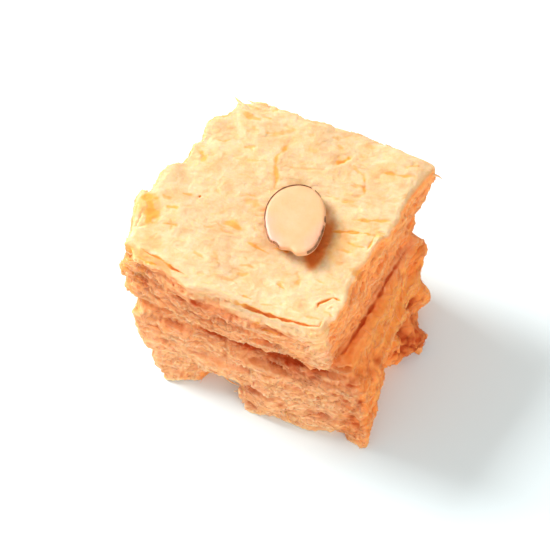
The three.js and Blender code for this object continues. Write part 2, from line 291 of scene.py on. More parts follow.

# Hollows torn into the sides: x, y, height, length, tallness, depth and how much painted shade they get.
# Those with no depth only paint shade, such as the lobe low on the right and the band below the front rim.
HOLLOWS = (
    (10.7, -1.5, 19.7, 2.2, 0.9, 0.3, 1.8),
    (14.3, -2.4, 21.6, 2.0, 1.3, 0.3, 2.0),
    (18.0, -1.9, 21.2, 1.4, 0.8, 0.2, 1.6),
    (25.4, 0.0, 15.9, 1.4, 1.0, 0.3, 1.7),
    (23.7, -3.4, 1.9, 2.2, 1.2, 0.1, 1.4),
    (28.5, -2.2, 3.5, 0.8, 0.7, 0.1, 1.0),
    (41.4, 1.1, 8.7, 1.4, 2.6, 0.15, 1.2),
    (20.8, -2.2, 19.6, 3.4, 0.8, 0.2, 1.2),
    (16.0, -2.2, 21.4, 18.0, 1.6, 0.0, 0.8),
    (26.2, -0.7, 17.4, 2.2, 1.2, 0.5, 1.5),
    (6.5, -1.2, 21.5, 7.0, 1.4, 0.1, 0.4),
    (15.4, -0.5, 11.4, 3.4, 0.8, 0.5, 1.5),
    (21.0, 0.0, 11.3, 9.0, 1.5, 0.1, 1.1),
    (30.4, 1.0, 11.6, 14.0, 3.2, 0.1, 1.3),
    (12.0, -2.0, 18.5, 24.0, 7.0, 0.0, 0.4),
    (23.9, -2.3, 4.8, 3.6, 2.0, 0.2, 1.3),
    (35.2, -0.8, 3.2, 3.0, 0.7, 0.15, 1.1),
    (39.2, 2.4, 11.2, 3.6, 0.7, 0.4, 1.4),
    (40.6, -0.1, 4.4, 2.2, 2.8, 0.5, 1.8),
    (38.4, 0.5, 8.4, 3.2, 1.0, 0.3, 1.2),
    (40.2, 8.9, 10.0, 1.6, 3.6, 0.15, 1.2),
    (40.3, 5.8, 10.4, 1.6, 2.6, 0.1, 1.1),
    (38.0, 22.6, 6.8, 2.8, 1.4, 1.2, 1.6),
    (38.6, 19.8, 6.4, 2.8, 1.6, 1.3, 1.7),
    (39.3, 17.4, 5.4, 2.8, 2.2, 1.3, 1.8),
    (39.6, 15.6, 3.8, 2.8, 2.4, 1.2, 1.8),
    (39.2, 21.8, 4.6, 1.6, 1.4, 1.0, 1.2),
    (40.6, 18.8, 2.8, 6.0, 5.0, 0.0, 1.5),
    (7.4, -0.9, 11.0, 4.6, 0.9, 0.15, 1.0),
    (4.0, -1.2, 18.4, 3.6, 1.6, 0.3, 1.0),
)

# Broad swells and dents of the sides: x, y, height, radius and reach, in millimetres.
SWELLS = (
    (32.5, 37.5, 23.0, 8.0, 1.1),
    (30.5, 37.6, 23.5, 4.0, 0.9),
    (22.0, 36.0, 23.5, 7.0, 0.7),
    (15.0, 36.5, 23.5, 4.0, 0.5),
    (4.0, 36.0, 23.5, 2.6, -0.3),
    (-0.2, 34.2, 23.5, 2.4, -0.9),
    (-1.5, 28.1, 22.5, 2.2, 1.2),
    (-0.8, 25.0, 23.0, 1.6, -0.8),
    (-1.0, 19.3, 23.0, 1.6, -0.6),
    (-2.5, 16.4, 22.5, 2.2, 1.1),
    (-2.8, 11.8, 23.0, 1.4, -0.6),
    (-1.8, 9.4, 22.6, 2.2, 1.3),
    (-0.5, 6.8, 22.6, 2.4, 1.2),
    (0.5, -1.0, 9.0, 6.0, 0.8),
    (3.0, 5.0, 4.0, 6.0, 0.6),
    (42.0, -0.6, 0.8, 2.6, 0.9),
    (25.5, -3.0, 2.5, 3.0, 0.6),
    (32.0, -2.6, 1.0, 3.0, 0.6),
    (34.8, 4.0, 13.8, 2.6, 0.4),
    (34.8, 8.0, 13.8, 2.6, 0.7),
    (34.6, 12.0, 13.8, 2.6, 0.9),
    (34.4, 16.0, 13.8, 2.6, 1.0),
    (34.0, 20.0, 13.8, 2.6, 1.1),
    (33.6, 24.0, 13.8, 2.6, 1.1),
    (38.2, 9.0, 11.4, 2.6, 0.3),
    (41.4, 10.0, 10.4, 2.6, -0.5),
    (40.6, 15.0, 10.2, 2.6, -0.5),
    (-1.2, -0.4, 21.0, 1.8, -0.7),
    (36.5, 33.5, 20.5, 3.5, -0.9),
    (36.0, 30.8, 9.5, 2.0, 0.7),
    (40.0, 23.6, 14.0, 3.0, -0.6),
    (36.7, 29.5, 6.9, 2.4, -1.2),
    (38.8, 25.8, 4.8, 1.4, 1.1),
    (40.0, 22.4, 3.6, 1.6, -1.3),
    (27.4, 15.0, 23.4, 2.6, 0.4),
)

# Patches of the top that are soaked with ghee: x, y, radius in millimetres and strength.
GHEE = (
    (28.5, 32.3, 2.6, 0.25), (12.5, 30.5, 2.0, 0.25), (8.0, 24.0, 1.6, 0.2), (-0.4, 8.2, 3.0, 0.5),
    (31.0, 20.6, 2.2, 0.2), (16.5, 27.5, 1.6, 0.2), (3.0, 2.0, 3.0, 0.25), (29.5, 16.4, 3.2, 0.45),
)


def small_marks(seed, count):
    """Short shallow marks scattered over the top, mostly along its grain."""
    chance = np.random.default_rng(seed)
    marks = []
    for _ in range(count):
        x, y = chance.uniform(0.0, 34.5), chance.uniform(0.5, 35.5)
        turn = math.radians(GRAIN + chance.normal(0, 26))
        half, bend = chance.uniform(0.4, 1.8), chance.uniform(-0.5, 0.5)
        across, up = math.cos(turn), math.sin(turn)
        marks.append((
            chance.uniform(0.3, 0.8), chance.uniform(0.04, 0.16), chance.uniform(0.1, 0.55),
            ((x - half * across, y - half * up), (x - bend * up, y + bend * across),
             (x + half * across, y + half * up))))
    return marks


ALL_MARKS = (*MARKS, *small_marks(seed=19, count=120))


def mark_profile(points, mark, rough):
    """How strong one mark is at points, from 0 to 1, and how far they lie from its middle."""
    width, _, _, path = mark
    corners = np.array(path)
    flat = points[:, :corners.shape[1]]
    runs = np.concatenate([[0], np.cumsum(np.linalg.norm(np.diff(corners, axis=0), axis=1))])
    apart = np.full(len(points), np.inf)
    along = np.zeros(len(points))
    for start, end, run in zip(corners[:-1], corners[1:], runs):
        way = end - start
        share = np.clip((flat - start) @ way / (way @ way), 0, 1)
        off = np.linalg.norm(flat - start - share[:, None] * way, axis=1)
        along = np.where(off < apart, run + share * np.linalg.norm(way), along)
        apart = np.minimum(apart, off)
    share = along / runs[-1]
    taper = np.clip(5 * share + 0.25, 0, 1) * np.clip(5 * (1 - share) + 0.25, 0, 1)
    uneven = 0.8 + 0.25 * np.sin(2.1 * along + 5 * corners[0, 0])
    half = (0.5 * width + 0.05) * np.sqrt(taper) * uneven
    reached = (apart + 0.3 * min(width, 2.4) * rough) / half
    # Narrow marks are cut sharp, and wide ones fade out from their middle.
    sharp = 0.45 if width < 0.75 else 0.1
    return taper * (1 - ease(sharp, 1.25, reached)), apart


def mark_relief(points, mark, rough):
    """How far the top stands up in and beside one mark: a cut has slightly raised edges."""
    width, depth, _, _ = mark
    strength, apart = mark_profile(points, mark, rough)
    beside = ease(0.4 * width, 0.7 * width, apart) * (1 - ease(0.7 * width, 0.7 * width + 0.7, apart))
    return 0.12 * max(0.0, min(depth, 0.5)) * beside - MARK_CUT * depth * strength


def near_mark(points, mark):
    """Which points one mark can reach."""
    corners = np.array(mark[3])
    flat = points[:, :corners.shape[1]]
    margin = mark[0] + 1.0
    return (flat > corners.min(0) - margin).all(1) & (flat < corners.max(0) + margin).all(1)


def marks_relief(points):
    """How far all the marks raise or cut the top."""
    rough = lumps(points, (0.8, 0.8, 30), 17)
    relief = np.zeros(len(points))
    for mark in ALL_MARKS:
        near = near_mark(points, mark)
        relief[near] += mark_relief(points[near], mark, rough[near])
    return relief


def hollow_profile(points):
    """How far into the torn hollows and seams of the sides points lie: the depth to cut, and how much painted
    shade they get.
    """
    ragged = 0.5 * lumps(points, (1.1, 1.1, 0.6), 43) + 0.3 * lumps(points, (0.5, 0.5, 0.3), 44)
    depth = np.zeros(len(points), np.float32)
    painted_shading = np.zeros(len(points), np.float32)
    for x, y, height, length, tallness, deep, strength in HOLLOWS:
        apart = points - np.array([x, y, height])
        share = (apart[:, 0] ** 2 + apart[:, 1] ** 2) / (0.5 * length) ** 2
        share += (apart[:, 2] / (0.5 * tallness)) ** 2
        inside = np.exp(-0.7 * share) * np.clip(1 + 1.4 * ragged, 0, 2)
        depth = np.maximum(depth, deep * inside)
        painted_shading = np.maximum(painted_shading, strength * inside)
    for seam in SEAMS:
        near = near_mark(points, seam)
        inside = mark_profile(points[near], seam, ragged[near])[0]
        depth[near] = np.maximum(depth[near], seam[1] * inside)
        painted_shading[near] = np.maximum(painted_shading[near], seam[2] * inside)
    return depth, painted_shading


def top_relief(points):
    """How far the top stands up: plates that end in small steps, fine drawn lines and crumb."""
    rise = 0.2
    grain = math.radians(GRAIN)
    plates = (
        0.5 * lumps(points, (12, 7, 30), 11, grain)
        + 0.35 * lumps(points, (5, 2.4, 30), 12, grain)
        + 0.2 * lumps(points, (1.8, 0.9, 30), 13, grain)
    )
    steps = plates / rise
    foot = np.floor(steps)
    terraces = (foot + ease(0.8, 1.0, steps - foot)) * rise
    drawn = lumps(points, (6, 0.45, 30), 14, grain) * ease(-0.2, 0.6, lumps(points, (9, 9, 30), 16))
    fine = lumps(points, (0.6, 0.6, 30), 15)
    return 0.42 * terraces + 0.05 * drawn + 0.03 * fine


def top_stain_and_shade(points):
    """How strongly the marks colour the top: a stain along them, which above 0.9 also brings painted shade
    into their cuts.
    """
    rough = lumps(points, (0.8, 0.8, 30), 17)
    stain_and_shade = np.zeros(len(points))
    for mark in ALL_MARKS:
        near = near_mark(points, mark)
        stain_and_shade[near] = np.maximum(stain_and_shade[near], mark[2] * mark_profile(points[near], mark, rough[near])[0])
    return stain_and_shade


def slanted(points, degrees):
    """Points turned in the plane of the sides, so that noise can be drawn out along a slant."""
    angle = math.radians(degrees)
    run = points[:, 0] + points[:, 1]
    return np.stack([
        run * math.cos(angle) + points[:, 2] * math.sin(angle),
        points[:, 0] - points[:, 1],
        points[:, 2] * math.cos(angle) - run * math.sin(angle),
    ], axis=1)


def side_relief(points, facing_right):
    """How far the sides stand out: sheets that hang over the gaps below them, fibres, crumb and hollows."""
    warp = 0.9 * lumps(points, (14, 14, 9), 21) + 0.35 * lumps(points, (4, 4, 3), 22)
    height = points[:, 2] + warp
    column = np.zeros_like(points)
    column[:, 2] = height
    spread = points.copy()
    total = np.zeros(len(points), np.float32)
    for layer, seed, reach, gap_depth, gap_width in ((2.9, 40, 0.95, 1.0, 0.42), (1.1, 50, 0.42, 0.4, 0.22)):
        stack = height / layer + 0.6 * lumps(column, (1, 1, 2 * layer), seed)
        index = np.floor(stack)
        share = stack - index
        spread[:, 2] = index * 11.0
        lip = 0.55 + 0.6 * lumps(spread, (6, 6, 9), seed + 1) + 0.45 * lumps(spread, (1.3, 1.3, 9), seed + 2)
        lip += 0.3 * lumps(spread, (0.6, 0.6, 9), seed + 4)
        spread[:, 2] = np.round(stack) * 11.0
        gap_mask = ease(-0.1, 0.6, lumps(spread, (5, 5, 9), seed + 3))
        below = (1 - share) * layer
        hanging = (1 - share) ** 1.6 * ease(0.0, 0.08, share) - 0.35
        gap = gap_depth * gap_mask * np.exp(-(below / gap_width) ** 2)
        total += reach * np.clip(lip, 0, 1.4) * hanging - gap
    fibres = 0.6 * lumps(points, (1.5, 1.5, 0.28), 27)
    for degrees, seed in ((20, 34), (-24, 35), (50, 36), (72, 37)):
        patch = ease(0.0, 0.4, lumps(points, (3.2, 3.2, 2.4), seed + 60))
        fibres += patch * lumps(slanted(points, degrees), (1.6, 3.0, 0.27), seed)
    crumb = lumps(points, (0.6, 0.6, 0.42), 28) + 0.8 * lumps(points, (0.38, 0.38, 0.3), 29)
    layered = (0.28 + 0.3 * ease(CREASE - 1, CREASE + 1, points[:, 2])) * (1 - 0.75 * facing_right)
    return layered * total + (0.18 - 0.03 * facing_right) * fibres + 0.13 * crumb - hollow_profile(points)[0]


def broad_relief(points):
    """Broad swells and dents that the hand leaves."""
    total = np.zeros(len(points), np.float32)
    for x, y, height, radius, reach in SWELLS:
        apart = points - np.array([x, y, height])
        total += reach * np.exp(-(apart * apart).sum(1) / (radius * radius))
    return total


class FlossSettings(bpy.types.PropertyGroup):
    """Sizes and colours of the pulled sugar."""

    voxel: bpy.props.FloatProperty(
        name="Fineness", description="Size of the cells that the relief is worked out in",
        default=0.17 * MM, unit="LENGTH", subtype="DISTANCE")
    face_limit: bpy.props.IntProperty(
        name="Triangles", description="Most triangles that one part of the block has", default=196000)
    top_colour: bpy.props.FloatVectorProperty(
        name="Top", description="Colour of the smooth top", size=4, subtype="COLOR",
        default=linear("#e1c297"))
    torn_colour: bpy.props.FloatVectorProperty(
        name="Torn sides", description="Colour of the torn sides", size=4, subtype="COLOR",
        default=linear("#f8b178"))
    # Painted shade: the side that faces away from the soft box is coloured deeper orange.
    painted_shade_side_colour: bpy.props.FloatVectorProperty(
        name="Right side", description="Colour of the darker side", size=4, subtype="COLOR",
        default=linear("#ffa054"))
    # The colour of the palest threads, also laid on ridges and edges as painted highlight.
    thread_and_highlight_colour: bpy.props.FloatVectorProperty(
        name="Threads", description="Colour of the palest threads", size=4, subtype="COLOR",
        default=linear("#ffd9ae"))
    # Painted shade: deep orange laid into gaps, hollows, seams and the crease, and as the almond's shadow.
    painted_shade_colour: bpy.props.FloatVectorProperty(
        name="Gaps", description="Colour deep in the gaps", size=4, subtype="COLOR",
        default=linear("#c4501c"))
    # Ghee stains, and also painted shade beside the almond and on the crust's right rim, and painted light on
    # the right shelf.
    ghee_and_painted_light_colour: bpy.props.FloatVectorProperty(
        name="Ghee", description="Colour of patches soaked with ghee", size=4, subtype="COLOR",
        default=linear("#eba648"))


def sugar_floss(name, settings, soaking):
    """Pulled sugar threads with flour and ghee: a dry silky mass that light soaks into, cream where it is
    smooth on top and peach where it is torn. Shade is painted deep orange into the gaps and onto the right
    side, and highlights are painted pale on ridges, where threads catch the light."""
    material, tree = new_material(name)
    masks = {
        mask: add_node(tree, "ShaderNodeAttribute", {"attribute_name": mask}).outputs["Fac"]
        for mask in ("hollow", "crust", "rightward", "ghee_and_painted_light", "pale")
    }
    place = add_node(tree, "ShaderNodeTexCoord").outputs["Object"]
    flat = add_node(tree, "ShaderNodeMapping", inputs={"Vector": place, "Scale": (1.0, 1.0, 3.0)})
    streak = add_node(tree, "ShaderNodeTexNoise", inputs={
        "Vector": flat.outputs["Vector"], "Scale": 420.0, "Detail": 4.0, "Roughness": 0.65})
    turned = add_node(tree, "ShaderNodeMapping", inputs={
        "Vector": place, "Rotation": (0, 0, -math.radians(GRAIN)), "Scale": (0.16, 1.0, 0.3)})
    flecks = add_node(tree, "ShaderNodeTexNoise", inputs={
        "Vector": turned.outputs["Vector"], "Scale": 1500.0, "Detail": 3.0, "Roughness": 0.6})
    fleck = add_node(tree, "ShaderNodeMapRange", inputs={
        "Value": flecks.outputs["Fac"], "From Min": 0.6, "From Max": 0.76, "To Min": 0.0, "To Max": 0.32})
    tint = add_node(tree, "ShaderNodeValToRGB", inputs={"Fac": streak.outputs["Fac"]}, stops=[
        (0.34, linear("#f2d1a6")), (0.62, linear("#ffffff"))])
    colour = settings.torn_colour
    # The right side's colour and the gap colour are painted shade, the ghee colour is partly painted light
    # and the pale colour partly painted highlight.
    for share, over, blend in (
            (masks["rightward"], settings.painted_shade_side_colour, "MIX"),
            (masks["crust"], settings.top_colour, "MIX"),
            (masks["pale"], settings.thread_and_highlight_colour, "MIX"),
            (fleck.outputs["Result"], settings.ghee_and_painted_light_colour, "MIX"),
            (masks["ghee_and_painted_light"], settings.ghee_and_painted_light_colour, "MIX"),
            (masks["hollow"], settings.painted_shade_colour, "MIX"),
            (0.55, tint.outputs["Color"], "MULTIPLY")):
        layer = add_node(tree, "ShaderNodeMix", {"data_type": "RGBA", "blend_type": blend}, {
            SHARE: share, UNDER: colour, OVER: over})
        colour = layer.outputs[MIXED]
    grain = add_node(tree, "ShaderNodeTexNoise", inputs={
        "Vector": flat.outputs["Vector"], "Scale": 2400.0, "Detail": 3.0, "Roughness": 0.7})
    bump = add_node(tree, "ShaderNodeBump", inputs={
        "Height": grain.outputs["Fac"], "Distance": 0.00015, "Strength": 0.8})
    shader = add_node(tree, "ShaderNodeBsdfPrincipled", inputs={
        "Base Color": colour,
        "Roughness": 0.8,
        "IOR": 1.45,
        "Specular IOR Level": 0.2,
        "Subsurface Weight": soaking,
        "Subsurface Radius": (1.0, 0.35, 0.12),
        "Subsurface Scale": 0.0015,
        "Normal": bump.outputs["Normal"],
    })
    add_node(tree, "ShaderNodeOutputMaterial", inputs={"Surface": shader.outputs["BSDF"]})
    return material


def reduced(piece, face_limit):
    """Brings a piece under a number of triangles."""
    triangles = sum(len(p.vertices) - 2 for p in piece.data.polygons)
    thinner = piece.modifiers.new("fewer faces", "DECIMATE")
    thinner.ratio = min(1.0, face_limit / triangles)
    graph = bpy.context.evaluated_depsgraph_get()
    mesh = bpy.data.meshes.new_from_object(piece.evaluated_get(graph))
    piece.modifiers.clear()
    piece.data = mesh
    mesh.name = piece.name


def turned_from(bearing, degrees):
    """How far bearings are turned from a direction, in radians and either way."""
    return np.abs(np.angle(np.exp(1j * (bearing - math.radians(degrees)))))


def almond_painted_shadow(here):
    """The painted shadow of the almond slice on the sugar beside it: most along its right and front rim,
    where the tilted slice stands clear.
    """
    apart = here[:, :2] - ALMOND_MIDDLE
    x = apart[:, 0] * math.cos(ALMOND_TURN) + apart[:, 1] * math.sin(ALMOND_TURN)
    y = apart[:, 1] * math.cos(ALMOND_TURN) - apart[:, 0] * math.sin(ALMOND_TURN)
    bearing = np.arctan2(y, x)
    rim_angles = np.linspace(-math.pi, math.pi, 361)
    rim = almond_rim(rim_angles, bpy.context.scene.sweet_almond)
    rim_bearing = np.arctan2(rim[:, 1], rim[:, 0])
    order = np.argsort(rim_bearing)
    reach = np.interp(bearing, rim_bearing[order], np.hypot(rim[:, 0], rim[:, 1])[order])
    beyond = np.hypot(x, y) - reach
    painted_almond_shadow = np.zeros(len(here))
    for middle, spread, wide, share in ((-30, 58, 1.9, 0.9), (-62, 22, 2.1, 1.0), (20, 20, 0.8, 0.35)):
        fan = math.radians(spread)
        round_share = 1 - ease(0.4 * fan, fan, turned_from(bearing, middle))
        painted_almond_shadow = np.maximum(painted_almond_shadow, share * round_share * (1 - ease(0.35 * wide, wide, beyond)))
    return painted_almond_shadow


def crust_foot(here):
    """The height that the crust reaches down to at the front, lowest at the right corner."""
    x = here[:, 0]
    return TOP - 0.9 - 1.6 * ease(14, 27, x) - 2.8 * ease(31.5, 34.5, x)


def crust_share(here, up, level):
    """How much places belong to the smooth crust: it ends where the surface turns down at the edges."""
    x, y, height = here.T
    torn = lumps(here, (1.4, 1.4, 1.4), 45)
    front_end = 0.5 - 3.0 * ease(7.5, 11.0, x) + 0.4 * torn
    top = ease(0.45, 0.8, up) * ease(-2.0, -1.2, height - TOP) * ease(-0.4, 0.4, y - front_end)
    above_foot = ease(-0.5, 0.3, height - crust_foot(here) + 0.5 * torn)
    lip = 0.75 * ease(11, 15, x) * above_foot * (1 - ease(2.0, 3.0, y))
    right_edge = ease(28, 32, x)
    edge = np.maximum.reduce([right_edge, 1 - ease(1.0, 3.0, y), ease(31.5, 33.0, y)])
    turned = 1 - ease(0.0, 0.3, level - 0.3 - 0.28 * right_edge)
    return np.maximum(top * (1 - edge * turned), lip * ease(-0.5, 0.1, up))


def rightward_share(here, facing_right):
    """How much places take the right side's colour, painted shade for the side that faces away from the soft
    box, which goes on over the corner and foot.
    """
    x, y, height = here.T
    share = np.maximum(facing_right, ease(34.6, 36.4, x) * ease(1.5, 4.5, y))
    share *= 1 - 0.22 * ease(13.0, 15.0, height)
    foot = ease(36.5, 39.5, x) * (1 - ease(6, 10, height))
    return np.maximum(share, 0.6 * foot)


def side_hollow(here, fine, depth, crease, rightward, shelf):
    """How much painted shade the torn sides get: in recesses, hollows and seams, in the crease between the
    halves and in a band on the right, less on the right shelf.
    """
    x, y, height = here.T
    # Painted shade in recesses, in hollows below the smooth block and in the crease, less on the right.
    share = 0.3 * ease(-0.04, 0.2, -fine) + 0.3 * ease(0.1, 1.1, depth)
    share += (0.72 - 0.62 * rightward) * ease(0.12, 0.8, crease)
    # A band of painted shade on the right side just above the crease.
    on_right = ease(33.5, 35.0, x) * ease(2, 5, y)
    share += 0.15 * on_right * ease(13.2, 14.2, height) * (1 - ease(15, 19, height))
    # Less painted shade on the right shelf, which faces up into the light.
    share *= 1 - 0.8 * shelf
    return share + 0.55 * hollow_profile(here)[1]


def ghee_and_painted_light_share(here, up, level, crust, stain_and_shade, painted_almond_shadow, shelf):
    """How much places take the ghee colour: ghee stains in the marks and patches of the top and in streaks by
    the left edge, the almond's painted shadow, painted shade on the crust's turned-down right rim and painted
    light on the right shelf.
    """
    x, y, height = here.T
    # Stains along the marks, and the almond's painted shadow.
    soaked_and_shaded = np.maximum(0.95 * ease(0.0, 0.9, stain_and_shade), painted_almond_shadow)
    for middle_x, middle_y, radius, share in GHEE:
        apart = np.hypot(x - middle_x, y - middle_y) + 0.5 * radius * lumps(here, (1, 1, 9), 41)
        soaked_and_shaded = np.maximum(soaked_and_shaded, share * (1 - ease(0.4 * radius, radius, apart)))
    left_edge = (1 - ease(2.5, 5.5, x)) * ease(4, 6, height) * (1 - crust)
    streaks = ease(-0.3, 0.4, lumps(here, (1.2, 1.2, 4.0), 46))
    # Painted shade on the crust's right rim, where it turns down away from the light, and painted light on
    # the right shelf.
    right_rim = ease(32, 34, x) * (1 - ease(0.7, 0.95, level)) * crust
    return np.maximum.reduce([
        soaked_and_shaded * ease(0.0, 0.4, up), 0.6 * left_edge * streaks, 0.3 * shelf, 0.5 * right_rim])


def pale_and_highlight_share(here, fine, level, crust, rightward, stain_and_shade):
    """How much places take the pale colour: painted highlights on ridges and on the right arris, painted
    light low on the front, paler towards the front of the crust, and the crust's rim where it turns down.
    """
    x, y, height = here.T
    # Painted light low on the front, and painted highlights on ridges.
    low_front = (1 - rightward) * (1 - ease(7, 11, height))
    pale = (0.7 * ease(0.02, 0.22, fine) + 0.25 * low_front) * (1 - crust) * (1 - 0.5 * rightward)
    # Painted highlight on the right arris.
    arris = ease(32.0, 33.5, x) * (1 - ease(1.5, 3.5, y)) * ease(12.5, 14.5, height)
    pale = np.maximum(pale, 0.7 * arris * (1 - crust))
    pale += 0.35 * crust * (1 - ease(2, 13, y)) * (1 - stain_and_shade)
    return np.clip(np.maximum(pale, 0.8 * crust * (1 - ease(0.2, 0.7, level))), 0, 1)


def masks_at(block, places):
    """The shares that colour the sugar at places, by the names that its material reads."""
    distance = block["distance"]
    here = (places - CORNER).astype(np.float32)
    fine = distance.sampled(block["round"], places)
    depth = -distance.sampled(block["smooth"], places)
    crease = -distance.sampled(block["coarse"], places, block["step"])
    up = distance.sampled(block["up"], places)
    level = outward(block, places)[0][:, 2]
    stain_and_shade = top_stain_and_shade(here) * ease(-3.8, -3.0, here[:, 2] - TOP)
    # The right shelf faces up into the light: it gets painted light and less painted shade.
    shelf = ease(36.2, 37.2, here[:, 0]) * ease(8, 14, here[:, 1]) * ease(5, 8, here[:, 2])
    crust = crust_share(here, up, level)
    rightward = rightward_share(here, side_mask(block, places))
    painted_almond_shadow = almond_painted_shadow(here)
    # Painted shade on the top: in recesses, in the cuts of strong marks and as the almond's shadow.
    top_hollow = 0.3 * ease(0.04, 0.2, -fine) + 0.8 * ease(0.9, 1.6, stain_and_shade) + 0.75 * painted_almond_shadow
    torn_hollow = side_hollow(here, fine, depth, crease, rightward, shelf)
    return {
        "hollow": np.clip((1 - crust) * torn_hollow + crust * top_hollow, 0, 1),
        "crust": crust,
        "rightward": rightward * (1 - crust),
        "ghee_and_painted_light": ghee_and_painted_light_share(here, up, level, crust, stain_and_shade, painted_almond_shadow, shelf),
        "pale": pale_and_highlight_share(here, fine, level, crust, rightward, stain_and_shade),
    }


def widest(values, reach, pick):
    """A grid where each cell takes the highest or lowest value within reach along both axes."""
    for axis in range(2):
        values = pick([np.roll(values, shift, axis) for shift in range(-reach, reach + 1)], axis=0)
    return values


def closed_top(smooth, heights, voxel):
    """The height of the top over each cell of the plan, with narrow hollows closed up."""
    inside = smooth < 0
    highest = smooth.shape[2] - 2 - np.argmax(inside[:, :, ::-1][:, :, 1:], axis=2)
    row, column = np.indices(highest.shape)
    below, above = smooth[row, column, highest], smooth[row, column, highest + 1]
    level = heights[highest] + voxel * below / np.minimum(below - above, -0.1 * voxel)
    level[~inside.any(axis=2)] = 0
    reach = int(1.6 / voxel)
    level = widest(widest(level, reach, np.max), reach, np.min)
    for _ in range(6):
        for axis in range(2):
            level = 0.5 * level + 0.25 * (np.roll(level, 1, axis) + np.roll(level, -1, axis))
    return level


def slip_gap(here, hull):
    """The gap where the upper half has slipped over the lower one, as a distance, positive inside it."""
    x, y, height = here[..., 0], here[..., 1], here[..., 2]
    wave = 0.6 * np.sin(0.9 * x + 0.5 * y) + 0.4 * np.sin(2.3 * x - 1.4 * y)
    side = ease(0.5, 4.0, y)
    roof = 13.2 + 0.03 * np.maximum(x - 14, 0) + 0.3 * wave - 0.7 * side
    tall = (0.15 + 0.55 * ease(15, 28, x) + 0.12 * wave) * (1 - 0.65 * side)
    deep = (0.8 + 1.6 * ease(16, 28, x)) * (1 - 0.55 * side)
    taper = 1 + np.clip(hull, -deep, 0) / deep
    wedge = np.maximum(np.abs(height - (roof - tall)) - tall * taper, -(hull + deep))
    wedge[(x < 9) | (y > 4)] = BAND
    return np.clip(-wedge, -BAND, BAND)


def relief(points, upward, rightward):
    """How far points stand up from the smooth block, from the way that it faces there."""
    side = 1 - ease(0.4, 0.8, np.abs(upward))
    top = ease(0.5, 0.85, upward) * ease(-2.5, -1.5, points[:, 2] - TOP)
    ledge = np.clip(1 - side - top, 0, 1)
    raised = broad_relief(points)
    torn = side + 0.6 * ledge
    rough = torn > 0.01
    raised[rough] += torn[rough] * side_relief(points[rough], ease(0.3, 0.8, rightward[rough]))
    flat = top > 0.01
    raised[flat] += top[flat] * top_relief(points[flat])
    marked = ease(-0.1, 0.4, upward) * ease(-3.8, -3.0, points[:, 2] - TOP)
    flat = marked > 0.01
    raised[flat] += marked[flat] * marks_relief(points[flat])
    return np.clip(raised, -1.4, 1.5)


def cut_lip(here):
    """The slant that cuts off the front edge of the top, as a distance that is positive beyond it."""
    x, y, height = here[..., 0], here[..., 1], here[..., 2]
    reach = 1.25 * ease(14, 33, x) - 1.6 * (1 - ease(9, 18, x))
    slant = -0.806 * (y + 0.7) + 0.591 * (height - TOP) + reach
    slant[x < 9] = -BAND
    return np.minimum(slant, BAND)


def carved_block(mesh, voxel):
    """The CAD block with its relief, as grids of distances."""
    distance = Distance(mesh, voxel, band=2.4)
    smooth = blurred(distance.values, 2)
    hull = blurred(smooth, 14)
    step = 3
    coarse = blurred(distance.values[::step, ::step, ::step], 16)
    right, back, up = (np.gradient(hull, voxel, axis=axis) for axis in range(3))
    length = np.sqrt(right * right + back * back + up * up) + 1e-6
    right, back, up = right / length, back / length, up / length
    here = distance.places(np.ones_like(smooth, bool)).reshape(*smooth.shape, 3) - CORNER
    level = closed_top(smooth, here[0, 0, :, 2], voxel)
    middle = widest(level, int(0.8 / voxel), np.min) > TOP - 2.5
    front = here[:, :, 0, 1] < 3.0
    middle = np.where(front, widest(level, int(0.35 / voxel), np.min) > TOP - 2.5, middle)
    filled = here[..., 2] - level[:, :, None]
    filled[~middle] = BAND
    filled[here[..., 2] < TOP - 3.5] = BAND
    smooth = np.minimum(smooth, filled)
    smooth = np.maximum(smooth, cut_lip(here))
    smooth = np.maximum(smooth, slip_gap(here, hull))
    near = np.abs(smooth) < BAND
    carved = smooth.copy()
    carved[near] -= relief(here[near], up[near], right[near])
    carved = np.maximum(carved, -here[..., 2])
    rounded = blurred(carved, 5)
    return {
        "distance": distance, "smooth": blurred(smooth, 4), "coarse": coarse, "step": step, "up": up,
        "right": right, "carved": carved, "round": rounded,
        "slopes": [np.gradient(rounded, voxel, axis=axis) for axis in range(3)],
    }


def walls_between(index):
    """Four-sided faces between neighbouring rings, from their points' numbers: tube, step and corner."""
    turned = np.roll(index, -1, axis=2)
    return np.stack([index[:, :-1], turned[:, :-1], turned[:, 1:], index[:, 1:]], axis=-1).reshape(-1, 4)


def closed_tubes(rings):
    """Points and faces of closed tubes from an array of their rings: tube, step, corner and place."""
    index = np.arange(rings.size // 3).reshape(rings.shape[:3])
    starts = index[:, 0, ::-1]
    ends = index[:, -1]
    return rings.reshape(-1, 3), walls_between(index).tolist() + starts.tolist() + ends.tolist()


def tube_mesh(paths, radii, sides=3):
    """Points and faces of tubes along paths, an array of count by steps by 3, thinning as the radii say."""
    ahead = unit(np.gradient(paths, axis=1))
    aside = unit(np.cross(ahead, np.array([0.31, 0.17, 0.93])))
    above = np.cross(aside, ahead)
    angles = 2 * math.pi * np.arange(sides) / sides
    ring = np.cos(angles)[:, None] * aside[:, :, None] + np.sin(angles)[:, None] * above[:, :, None]
    return closed_tubes(paths[:, :, None] + radii[:, :, None, None] * ring)


def outward(block, places):
    """The way out of the block at places, and how far out they are."""
    distance = block["distance"]
    slope = np.stack([distance.sampled(part, places) for part in block["slopes"]], axis=1)
    length = np.linalg.norm(slope, axis=1, keepdims=True) + 1e-3
    return slope / length, distance.sampled(block["carved"], places) / np.maximum(length[:, 0], 0.5)


